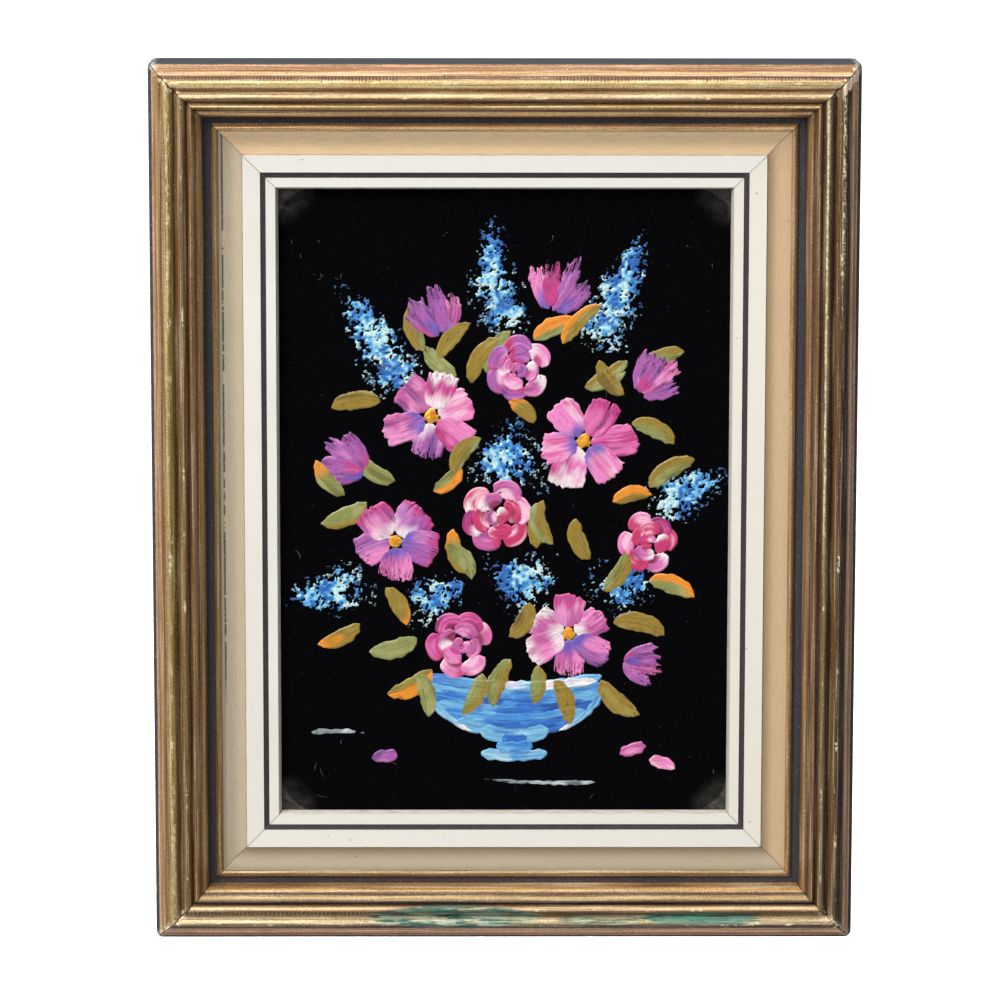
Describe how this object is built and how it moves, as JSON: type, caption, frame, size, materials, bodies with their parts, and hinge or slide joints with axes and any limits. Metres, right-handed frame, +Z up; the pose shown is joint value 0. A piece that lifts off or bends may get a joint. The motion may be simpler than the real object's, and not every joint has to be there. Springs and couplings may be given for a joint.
{
  "type": "framed painting",
  "caption": "Small flower picture painted on black velvet, in a reeded gilt frame with a champagne and ivory liner, hung by a sawtooth plate.",
  "frame": {"origin": "middle of the sawtooth hanger's wall face, on the top rail's back", "axes": "+Z up the picture, -Y out of its face towards the viewer, +X to the viewer's right"},
  "size_m": [0.1942, 0.0211, 0.2442],
  "materials": {
    "gilt_wood": "bronze-gold paint, worn, dark outer side and groove",
    "painted_liner": "champagne cove and ivory bands, satin paint",
    "velvet": "black cut pile, dusty at the corners",
    "oil_paint": "thick oil paint laid on with a knife and brush",
    "board": "plain greyish brown board",
    "steel": "dull wire",
    "brassed_steel": "brass-plated sheet steel"
  },
  "bodies": {
    "root": {"gilt_rail_bottom": "gilt_wood", "gilt_rail_left": "gilt_wood", "gilt_rail_top": "gilt_wood", "gilt_rail_right": "gilt_wood", "liner_rail_bottom": "painted_liner", "liner_rail_left": "painted_liner", "liner_rail_top": "painted_liner", "liner_rail_right": "painted_liner", "velvet": "velvet", "backing_board": "board", "brad_left_1": "steel", "brad_left_2": "steel", "brad_right_1": "steel", "brad_right_2": "steel", "brad_top_1": "steel", "brad_bottom_1": "steel", "sawtooth_hanger": "brassed_steel", "hanger_nail_left": "steel", "hanger_nail_right": "steel"}
  },
  "joints": []
}
